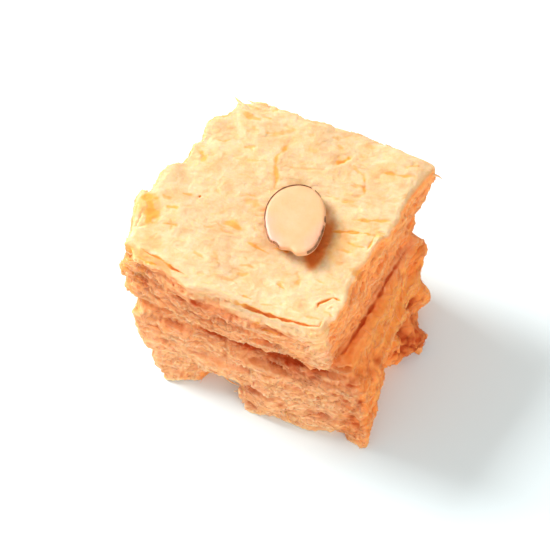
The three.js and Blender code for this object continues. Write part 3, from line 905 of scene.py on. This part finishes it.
def scattered(block, count, chance, wanted):
    """Places on the carved surface, taken by chance in proportion to what is wanted there."""
    pool = block["points"][chance.integers(0, len(block["points"]), 12 * count)]
    share = wanted(pool)
    keep = chance.random(len(pool)) < share / share.max()
    return pool[keep][:count]


def side_mask(block, places):
    """How much places lie on the right side, which faces away from the soft box and gets painted shade."""
    return ease(0.25, 0.85, block["distance"].sampled(block["right"], places))


def on_sides(block):
    """How much threads and flakes are wanted at places: on the sides, most of all on their ridges."""
    def wanted(places):
        up = block["distance"].sampled(block["up"], places)
        ridge = block["distance"].sampled(block["round"], places)
        side = (1 - ease(0.55, 0.9, np.abs(up))) * ease(0.3, 1.0, places[:, 2])
        here = places - CORNER
        rim = 1 - ease(-1.6, -0.8, places[:, 2] - TOP)
        rim *= 1 - ease(-0.8, 0.0, places[:, 2] - crust_foot(here)) * (1 - ease(2.0, 3.0, here[:, 1]))
        return side * rim * (0.3 + ease(-0.02, 0.18, ridge))
    return wanted


def creeping_paths(block, starts, chance, steps, pace, lift, stray):
    """Paths that creep over the surface from their starts, and lift off it towards their ends."""
    out, _ = outward(block, starts)
    level = unit(np.cross(out, np.array([0.0, 0.0, 1.0])))
    level *= chance.choice([-1.0, 1.0], len(starts))[:, None]
    way = unit(level + stray * out + chance.normal(0, 0.5, starts.shape))
    place = starts.astype(float)
    places = [place]
    for step in range(1, steps):
        way = unit(way + chance.normal(0, 0.3, starts.shape))
        place = place + way * pace[:, None]
        out, gap = outward(block, place)
        height = lift * (step / (steps - 1)) ** 1.6
        place = place + out * np.clip(height - gap, -0.8, 0.4)[:, None]
        places.append(place)
    return np.stack(places, axis=1)


def torn_flakes(block, chance, count):
    """Points and faces of thin torn plates that stand out between the layers."""
    middles = scattered(block, count, chance, on_sides(block))
    out, _ = outward(block, middles)
    count = len(middles)
    around = 11
    angles = 2 * math.pi * np.arange(around) / around
    flat_out = out * np.array([1, 1, 0.2])
    long_way = unit(np.cross(out, np.array([0.0, 0.0, 1.0])) + 0.25 * chance.normal(0, 1, middles.shape))
    wide_way = unit(flat_out - (flat_out * long_way).sum(1, keepdims=True) * long_way)
    thick_way = np.cross(long_way, wide_way)
    length = chance.uniform(0.6, 2.0, count)
    reach = chance.uniform(0.35, 0.95, count)
    ragged = chance.uniform(0.4, 1.3, (count, around))
    thick = chance.uniform(0.03, 0.06, count)
    x = length[:, None] * ragged * np.cos(angles)
    y = reach[:, None] * ragged * np.sin(angles)
    curl = chance.normal(0, 0.12, count)[:, None] * x * x + chance.normal(0, 0.25, count)[:, None] * y * y
    rim = middles[:, None] + x[..., None] * long_way[:, None] + y[..., None] * wide_way[:, None]
    rim += curl[..., None] * thick_way[:, None]
    lift = thick[:, None, None] * thick_way[:, None]
    hub = middles[:, None]
    points = np.concatenate([rim + 0.4 * lift, rim - 0.4 * lift, hub + lift, hub - lift], axis=1)
    size = 2 * around + 2
    faces = []
    for i in range(around):
        j = (i + 1) % around
        faces += [
            [i, j, 2 * around], [around + j, around + i, 2 * around + 1],
            [j, i, around + i], [j, around + i, around + j]]
    base = np.arange(count)[:, None, None] * size
    return points.reshape(-1, 3), (np.array(faces)[None] + base).reshape(-1, 3)


# Torn tips that stand out from the edges: where each starts, bends and ends, and how thick it starts.
TIPS = (
    ((4.4, 32.2, 23.9), (1.6, 32.7, 24.7), (-0.6, 33.9, 24.4), 0.62),
    ((5.6, 33.6, 24.0), (3.0, 34.6, 24.3), (1.4, 34.4, 24.2), 0.3),
    ((2.6, -0.8, 22.4), (1.0, -1.6, 22.4), (0.1, -1.9, 22.8), 0.2),
    ((17.4, -2.0, 4.6), (19.2, -2.7, 3.2), (21.4, -2.2, 3.6), 0.16),
    ((34.4, 35.8, 23.4), (35.8, 36.6, 23.3), (36.4, 36.2, 22.8), 0.25),
    ((29.6, -2.4, 2.4), (30.4, -3.2, 1.6), (31.4, -3.4, 1.7), 0.2),
)


def tip_paths(steps):
    """Paths of the torn tips, and how thick they are along them."""
    share = np.linspace(0, 1, steps)[:, None]
    start, bend, end = np.array([tip[:3] for tip in TIPS]).transpose(1, 0, 2)[:, :, None]
    paths = (1 - share) ** 2 * start + 2 * share * (1 - share) * bend + share ** 2 * end
    radii = np.array([tip[3] for tip in TIPS])[:, None] * (1.05 - share[:, 0]) ** 0.8
    return paths + CORNER, radii


def crumb_mesh(places, radii, chance):
    """Points and faces of small uneven lumps at places."""
    golden = (1 + math.sqrt(5)) / 2
    corners = unit(np.array([
        (-1, golden, 0), (1, golden, 0), (-1, -golden, 0), (1, -golden, 0), (0, -1, golden), (0, 1, golden),
        (0, -1, -golden), (0, 1, -golden), (golden, 0, -1), (golden, 0, 1), (-golden, 0, -1),
        (-golden, 0, 1)]))
    faces = np.array([
        (0, 11, 5), (0, 5, 1), (0, 1, 7), (0, 7, 10), (0, 10, 11), (1, 5, 9), (5, 11, 4), (11, 10, 2),
        (10, 7, 6), (7, 1, 8), (3, 9, 4), (3, 4, 2), (3, 2, 6), (3, 6, 8), (3, 8, 9), (4, 9, 5), (2, 4, 11),
        (6, 2, 10), (8, 6, 7), (9, 8, 1)])
    uneven = chance.uniform(0.65, 1.25, (len(places), 12, 1))
    stretch = chance.uniform(0.7, 1.3, (len(places), 1, 3))
    points = places[:, None] + radii[:, None, None] * uneven * stretch * corners
    base = np.arange(len(places))[:, None, None] * 12
    return points.reshape(-1, 3), (faces[None] + base).reshape(-1, 3)


class SWEET_OT_sugar_block(bpy.types.Operator):
    """Makes the block of pulled sugar in its two halves, with torn layers and a smooth top"""

    bl_idname = "sweet.sugar_block"
    bl_label = "Sugar block"

    def execute(self, context):
        settings = context.scene.sweet_floss
        block = carved_block(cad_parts["sweet_block"].data, settings.voxel / MM)
        points, quads = block["distance"].surface(block["carved"])
        quads = quads[:, ::-1]
        material = sugar_floss("pulled_sugar_floss", settings, 0.5)
        middle = points[quads].mean(1)[:, 2]
        cap = middle > TOP - 1.3
        for name, chosen in (
                ("smooth_top", cap),
                ("upper_layers", ~cap & (middle > CREASE)),
                ("lower_layers", middle <= CREASE)):
            used, faces = np.unique(quads[chosen], return_inverse=True)
            piece = add_piece(name, points[used], faces.reshape(-1, 4), material)
            reduced(piece, settings.face_limit)
            places = np.array([v.co for v in piece.data.vertices]) / MM
            for mask, values in masks_at(block, places).items():
                add_mask(piece, mask, values)
            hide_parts("sweet_block")
        block["points"] = points
        BLOCK.update(block)
        return {"FINISHED"}


def made_block():
    """The carved block, which the sugar block's operator makes."""
    if not BLOCK:
        raise RuntimeError("Make the sugar block before the pieces that lie on it")
    return BLOCK


class ThreadSettings(bpy.types.PropertyGroup):
    """How many threads, flakes and crumbs there are, and how thick the threads are."""

    lying: bpy.props.IntProperty(
        name="Lying threads", description="Threads that lie on the sides", default=7400)
    stray: bpy.props.IntProperty(
        name="Stray threads", description="Threads that stand off the sides", default=700)
    radius: bpy.props.FloatProperty(
        name="Thread radius", description="Half the thickness of a thread",
        default=0.08 * MM, unit="LENGTH", subtype="DISTANCE")
    flakes: bpy.props.IntProperty(name="Flakes", description="Thin torn plates on the sides", default=40)
    crumbs: bpy.props.IntProperty(name="Crumbs", description="Small lumps stuck to the sides", default=500)


class SWEET_OT_threads(bpy.types.Operator):
    """Makes the fine sugar threads that lie on the torn sides and stand off them"""

    bl_idname = "sweet.threads"
    bl_label = "Sugar threads"

    def execute(self, context):
        settings = context.scene.sweet_threads
        block = made_block()
        chance = np.random.default_rng(61)
        wanted = on_sides(block)
        material = sugar_floss("loose_sugar_threads", context.scene.sweet_floss, 0.0)
        radius = settings.radius / MM
        for name, count, steps, pace, lift, stray, thickness in (
                ("lying_threads", settings.lying, 5, (0.2, 0.65), (0.02, 0.14), 0.0, 1.0),
                ("stray_threads", settings.stray, 7, (0.12, 0.3), (0.2, 0.8), 0.6, 0.45)):
            starts = scattered(block, count, chance, wanted)
            count = len(starts)
            paces = chance.uniform(*pace, count)
            lifts = chance.uniform(*lift, count)
            paths = creeping_paths(block, starts, chance, steps, paces, lifts, stray)
            paths[:, :, 2] = np.maximum(paths[:, :, 2], radius)
            thin = np.linspace(1.0, 0.4, steps) * chance.uniform(0.5, 1.3, (count, 1)) * thickness
            points, faces = tube_mesh(paths, radius * thin)
            piece = add_piece(name, points, faces, material)
            masks = masks_at(block, points)
            pale = np.repeat(chance.uniform(0.1, 1.0, count), len(points) // count)
            # Threads in painted shade, on the right side and in the gaps, are darker.
            pale *= (1 - 0.5 * masks["rightward"]) * (1 - 0.7 * masks["hollow"])
            add_mask(piece, "hollow", masks["hollow"])
            add_mask(piece, "rightward", masks["rightward"])
            add_mask(piece, "pale", pale)
        return {"FINISHED"}


class SWEET_OT_flakes(bpy.types.Operator):
    """Makes the thin torn flakes between the layers and the crumbs stuck to the sides"""

    bl_idname = "sweet.flakes"
    bl_label = "Flakes and crumbs"

    def execute(self, context):
        settings = context.scene.sweet_threads
        block = made_block()
        chance = np.random.default_rng(62)
        material = bpy.data.materials["loose_sugar_threads"]
        points, faces = torn_flakes(block, chance, settings.flakes)
        points[:, 2] = np.maximum(points[:, 2], 0.02)
        piece = add_piece("torn_flakes", points, faces, material)
        # The right side's painted shade, as on the block.
        add_mask(piece, "rightward", side_mask(block, points))
        points, faces = tube_mesh(*tip_paths(steps=9), sides=7)
        floss = bpy.data.materials["pulled_sugar_floss"]
        piece = add_piece("torn_tips", points, faces, floss)
        add_mask(piece, "crust", np.clip(points[:, 2] - TOP + 1.0, 0, 1))
        places = scattered(block, settings.crumbs, chance, on_sides(block))
        radii = chance.uniform(0.06, 0.15, len(places))
        points, faces = crumb_mesh(places, radii, chance)
        points[:, 2] = np.maximum(points[:, 2], 0.0)
        piece = add_piece("sugar_crumbs", points, faces, material)
        # The right side's painted shade, as on the block.
        add_mask(piece, "rightward", side_mask(block, points))
        return {"FINISHED"}


def almond_flesh(settings):
    """A cut slice of almond: dense ivory flesh, a little oily, so it is smoother and glossier than the
    sugar, with a pink blush beside the skin."""
    material, tree = new_material("almond_flesh")
    blush = add_node(tree, "ShaderNodeAttribute", {"attribute_name": "blush"}).outputs["Fac"]
    place = add_node(tree, "ShaderNodeTexCoord").outputs["Object"]
    cloud = add_node(tree, "ShaderNodeTexNoise", inputs={"Vector": place, "Scale": 350.0, "Detail": 3.0})
    tone = add_node(tree, "ShaderNodeValToRGB", inputs={"Fac": cloud.outputs["Fac"]}, stops=[
        (0.3, linear("#dda775")), (0.7, linear("#e2b084"))])
    colour = add_node(tree, "ShaderNodeMix", {"data_type": "RGBA"}, {
        SHARE: blush, UNDER: tone.outputs["Color"], OVER: settings.blush_colour})
    fibre = add_node(tree, "ShaderNodeTexNoise", inputs={"Vector": place, "Scale": 1500.0, "Detail": 2.0})
    bump = add_node(tree, "ShaderNodeBump", inputs={
        "Height": fibre.outputs["Fac"], "Distance": 0.00006, "Strength": 0.5})
    shader = add_node(tree, "ShaderNodeBsdfPrincipled", inputs={
        "Base Color": colour.outputs[MIXED],
        "Roughness": 0.45,
        "IOR": 1.46,
        "Subsurface Weight": 0.4,
        "Subsurface Radius": (1.0, 0.6, 0.3),
        "Subsurface Scale": 0.0008,
        "Normal": bump.outputs["Normal"],
    })
    add_node(tree, "ShaderNodeOutputMaterial", inputs={"Surface": shader.outputs["BSDF"]})
    return material


def almond_skin():
    """The thin brown skin of an almond, dry and wrinkled, darker in places."""
    material, tree = new_material("almond_skin")
    place = add_node(tree, "ShaderNodeTexCoord").outputs["Object"]
    cloud = add_node(tree, "ShaderNodeTexNoise", inputs={"Vector": place, "Scale": 700.0, "Detail": 4.0})
    tone = add_node(tree, "ShaderNodeValToRGB", inputs={"Fac": cloud.outputs["Fac"]}, stops=[
        (0.4, linear("#6a4422")), (0.62, linear("#b07a52"))])
    shader = add_node(tree, "ShaderNodeBsdfPrincipled", inputs={
        "Base Color": tone.outputs["Color"], "Roughness": 0.6, "IOR": 1.45})
    add_node(tree, "ShaderNodeOutputMaterial", inputs={"Surface": shader.outputs["BSDF"]})
    return material


class AlmondSettings(bpy.types.PropertyGroup):
    """Size and colour of the almond slice."""

    length: bpy.props.FloatProperty(
        name="Length", description="Length before the end broke off",
        default=15.5 * MM, unit="LENGTH", subtype="DISTANCE")
    width: bpy.props.FloatProperty(
        name="Width", description="Width across the middle",
        default=9.6 * MM, unit="LENGTH", subtype="DISTANCE")
    thickness: bpy.props.FloatProperty(
        name="Thickness", description="Thickness of the slice",
        default=1.1 * MM, unit="LENGTH", subtype="DISTANCE")
    blush_colour: bpy.props.FloatVectorProperty(
        name="Blush", description="Colour of the flesh beside the skin", size=4, subtype="COLOR",
        default=linear("#e0a08c"))


def almond_rim(angle, settings):
    """The rim of the slice at angles about its middle: an egg, wider at the back, with a broken front end."""
    length, width = settings.length / MM, settings.width / MM
    egg = -0.17
    x = 0.5 * width * (1 - egg * np.sin(angle)) * np.cos(angle)
    y = 0.5 * length * np.sin(angle)
    for bearing, reach, wave in ((math.radians(237), 5.0, 0.2), (math.radians(290), 6.6, 0.0)):
        across = x * math.cos(bearing) + y * math.sin(bearing)
        along = y * math.cos(bearing) - x * math.sin(bearing)
        past = 0.3 * np.log1p(np.exp((across - reach - wave * np.sin(2.1 * along + 0.6)) / 0.3))
        x, y = x - past * math.cos(bearing), y - past * math.sin(bearing)
    return np.stack([x, y], axis=1)


def almond_turned(points):
    """Points of the slice set on the top of the block, tilted so that its right side stands clear."""
    turn = Matrix.Rotation(ALMOND_TURN, 3, "Z") @ Matrix.Rotation(math.radians(-6.5), 3, "Y")
    turn = turn @ Matrix.Rotation(math.radians(-2), 3, "X")
    middle = CORNER + np.array([*ALMOND_MIDDLE, TOP + 0.88])
    return points @ np.array(turn).T + middle


# Rings of the slice from the middle of its upper face over the rim to its lower face: the share of the way
# out to the rim, and the height as a share of half the thickness.
SLICE_RINGS = (
    (0.25, 1.0), (0.5, 1.0), (0.72, 1.0), (0.88, 0.98), (0.955, 0.86), (0.985, 0.6), (1.0, 0.1),
    (0.99, -0.5), (0.96, -0.85), (0.88, -1.0), (0.5, -1.0),
)


def slice_mesh(settings, around):
    """Points and faces of the flesh of the slice, lying flat, with slightly rippled faces."""
    rim = almond_rim(2 * math.pi * np.arange(around) / around, settings)
    half = 0.5 * settings.thickness / MM
    rings = []
    for share, level in SLICE_RINGS:
        ring = np.column_stack([share * rim, np.full(around, level * half)])
        ripple = 0.05 * lumps(ring.astype(np.float32), (1.6, 2.6, 9), 71)
        ring[:, 2] += ripple * (1 if level > 0 else 0.3)
        rings.append(ring)
    index = np.arange(len(rings) * around).reshape(1, len(rings), around)
    first, last = index[0, 0], index[0, -1]
    top = index.size
    faces = walls_between(index)[:, ::-1].tolist()
    for i in range(around):
        j = (i + 1) % around
        faces += [[first[i], first[j], top], [last[j], last[i], top + 1]]
    return np.concatenate(rings + [[[0, 0, half], [0, 0, -half]]]), faces


# Strips of skin left on the rim: the bearings in degrees that each runs between, and its width.
SKIN_STRIPS = (
    (148, 207, 0.2), (104, 147, 0.16), (84, 112, 0.26), (60, 86, 0.14),
    (38, 52, 0.2), (-4, 4, 0.24), (296, 350, 0.24), (209, 222, 0.26),
)


def skin_mesh(settings, count):
    """Points and faces of the strips of skin, which fold over the rim's upper edge and have narrow ends."""
    half = 0.5 * settings.thickness / MM
    strips = []
    for number, (start, end, wide) in enumerate(SKIN_STRIPS):
        edge = almond_rim(np.radians(np.linspace(start, end, count)), settings)
        way = unit(edge)
        taper = np.sin(np.linspace(0.15, math.pi - 0.15, count)) ** 0.5
        wave = 1 + 0.35 * np.sin(np.arange(count) * 1.3 + number)
        inner = edge - (0.7 * wide * taper * wave)[:, None] * way
        outer = edge + 0.05 * way
        under = edge - 0.12 * way
        corners = (
            (inner, 0.98 * half + 0.015), (edge - 0.05 * way, 0.93 * half + 0.03), (outer, 0.5 * half),
            (outer, 0.2 * half), (under, 0.2 * half), (under, 0.5 * half))
        strips.append(np.stack([np.column_stack([xy, np.full(count, z)]) for xy, z in corners], axis=1))
    return closed_tubes(np.stack(strips))


class SWEET_OT_almond(bpy.types.Operator):
    """Makes the almond slice with its broken end, and the thin brown skin on its rim"""

    bl_idname = "sweet.almond"
    bl_label = "Almond slice"

    def execute(self, context):
        settings = context.scene.sweet_almond
        points, faces = slice_mesh(settings, around=220)
        flesh = add_piece("almond_flesh", almond_turned(points), faces, almond_flesh(settings))
        bearing = np.arctan2(points[:, 1], points[:, 0])
        near_left = 1 - ease(0.4, 1.1, turned_from(bearing, 196))
        near_front = 0.6 * (1 - ease(0.3, 0.8, turned_from(bearing, 318)))
        out = np.hypot(points[:, 0], points[:, 1]) / (0.5 * settings.width / MM)
        add_mask(flesh, "blush", np.maximum(near_left, near_front) * ease(0.55, 1.0, out) * 0.8)
        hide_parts("almond_slice")
        points, faces = skin_mesh(settings, count=26)
        add_piece("almond_skin", almond_turned(points), faces, almond_skin())
        return {"FINISHED"}


def place_camera(context):
    """The camera stands half a metre off, to the right of the front and well above, and leans a little."""
    azimuth, elevation, roll = (math.radians(angle) for angle in (35.1, 53.25, 4.96))
    distance = 499.5 * MM
    aim = Vector((-1.3, -1.6, 11.6)) * MM
    back = Vector((
        math.sin(azimuth) * math.cos(elevation),
        -math.cos(azimuth) * math.cos(elevation),
        math.sin(elevation),
    ))
    data = bpy.data.cameras.new("camera")
    data.lens = 205
    data.sensor_width = 36
    data.clip_start = 0.01
    camera = bpy.data.objects.new("camera", data)
    level = back.to_track_quat("Z", "Y")
    camera.rotation_mode = "QUATERNION"
    camera.rotation_quaternion = level @ Matrix.Rotation(-roll, 3, "Z").to_quaternion()
    camera.location = aim + back * distance
    context.scene.collection.objects.link(camera)
    context.scene.camera = camera


def plaster_floor():
    """A matt white painted board: no gloss, and a very faint unevenness of tone."""
    material, tree = new_material("matt_white_board")
    place = add_node(tree, "ShaderNodeTexCoord").outputs["Object"]
    cloud = add_node(tree, "ShaderNodeTexNoise", inputs={"Vector": place, "Scale": 6.0, "Detail": 2.0})
    tone = add_node(tree, "ShaderNodeValToRGB", inputs={"Fac": cloud.outputs["Fac"]}, stops=[
        (0.0, linear("#e8f5f8")), (1.0, linear("#ebf7fa"))])
    shader = add_node(tree, "ShaderNodeBsdfPrincipled", inputs={
        "Base Color": tone.outputs["Color"], "Roughness": 0.9, "Specular IOR Level": 0.1})
    add_node(tree, "ShaderNodeOutputMaterial", inputs={"Surface": shader.outputs["BSDF"]})
    return material


class SWEET_OT_stage(bpy.types.Operator):
    """Makes the floor, the soft light from the left and the camera"""

    bl_idname = "sweet.stage"
    bl_label = "Stage"

    def execute(self, context):
        half = 3.0
        mesh = bpy.data.meshes.new("floor")
        corners = [(-half, -half, 0), (half, -half, 0), (half, half, 0), (-half, half, 0)]
        mesh.from_pydata(corners, [], [(0, 1, 2, 3)])
        mesh.materials.append(plaster_floor())
        floor = bpy.data.objects.new("floor", mesh)
        context.scene.collection.objects.link(floor)
        for name, size, energy, place in (
                ("soft_box", 0.42, 17.0, Vector((-0.86, 0.1, 0.56))),
                ("reflector", 1.2, 11.0, Vector((1.1, -0.9, 0.55)))):
            light = bpy.data.lights.new(name, "AREA")
            light.size = size
            light.energy = energy
            lamp = bpy.data.objects.new(name, light)
            lamp.location = place
            lamp.rotation_mode = "QUATERNION"
            lamp.rotation_quaternion = place.to_track_quat("Z", "Y")
            context.scene.collection.objects.link(lamp)
        world = bpy.data.worlds.new("white_room")
        world.use_nodes = True
        tree = world.node_tree
        way = add_node(tree, "ShaderNodeTexCoord").outputs["Generated"]
        height = add_node(tree, "ShaderNodeSeparateXYZ", inputs={"Vector": way}).outputs["Z"]
        brightness = add_node(tree, "ShaderNodeMapRange", inputs={
            "Value": height, "From Min": 0.0, "From Max": 1.0, "To Min": 0.9, "To Max": 0.48})
        background = tree.nodes["Background"]
        background.inputs["Color"].default_value = linear("#fffcf8")
        tree.links.new(brightness.outputs["Result"], background.inputs["Strength"])
        context.scene.world = world
        context.scene.view_settings.view_transform = "Standard"
        place_camera(context)
        return {"FINISHED"}


class SWEET_PT_pieces(bpy.types.Panel):
    """Lists the pieces of the sweet"""

    bl_label = "Soan Papdi"
    bl_space_type = "VIEW_3D"
    bl_region_type = "UI"
    bl_category = "Sweet"

    def draw(self, context):
        layout = self.layout
        for operator in OPERATORS:
            layout.operator(operator.bl_idname)


OPERATORS = (SWEET_OT_sugar_block, SWEET_OT_threads, SWEET_OT_flakes, SWEET_OT_almond, SWEET_OT_stage)
GROUPS = {"sweet_floss": FlossSettings, "sweet_threads": ThreadSettings, "sweet_almond": AlmondSettings}
CLASSES = (*GROUPS.values(), *OPERATORS, SWEET_PT_pieces)


def register():
    for item in CLASSES:
        bpy.utils.register_class(item)
    for name, group in GROUPS.items():
        setattr(bpy.types.Scene, name, bpy.props.PointerProperty(type=group))


def unregister():
    for name in GROUPS:
        delattr(bpy.types.Scene, name)
    for item in reversed(CLASSES):
        bpy.utils.unregister_class(item)


def main():
    register()
    bpy.ops.sweet.sugar_block()
    bpy.ops.sweet.threads()
    bpy.ops.sweet.flakes()
    bpy.ops.sweet.almond()
    bpy.ops.sweet.stage()


if __name__ == "__main__":
    main()
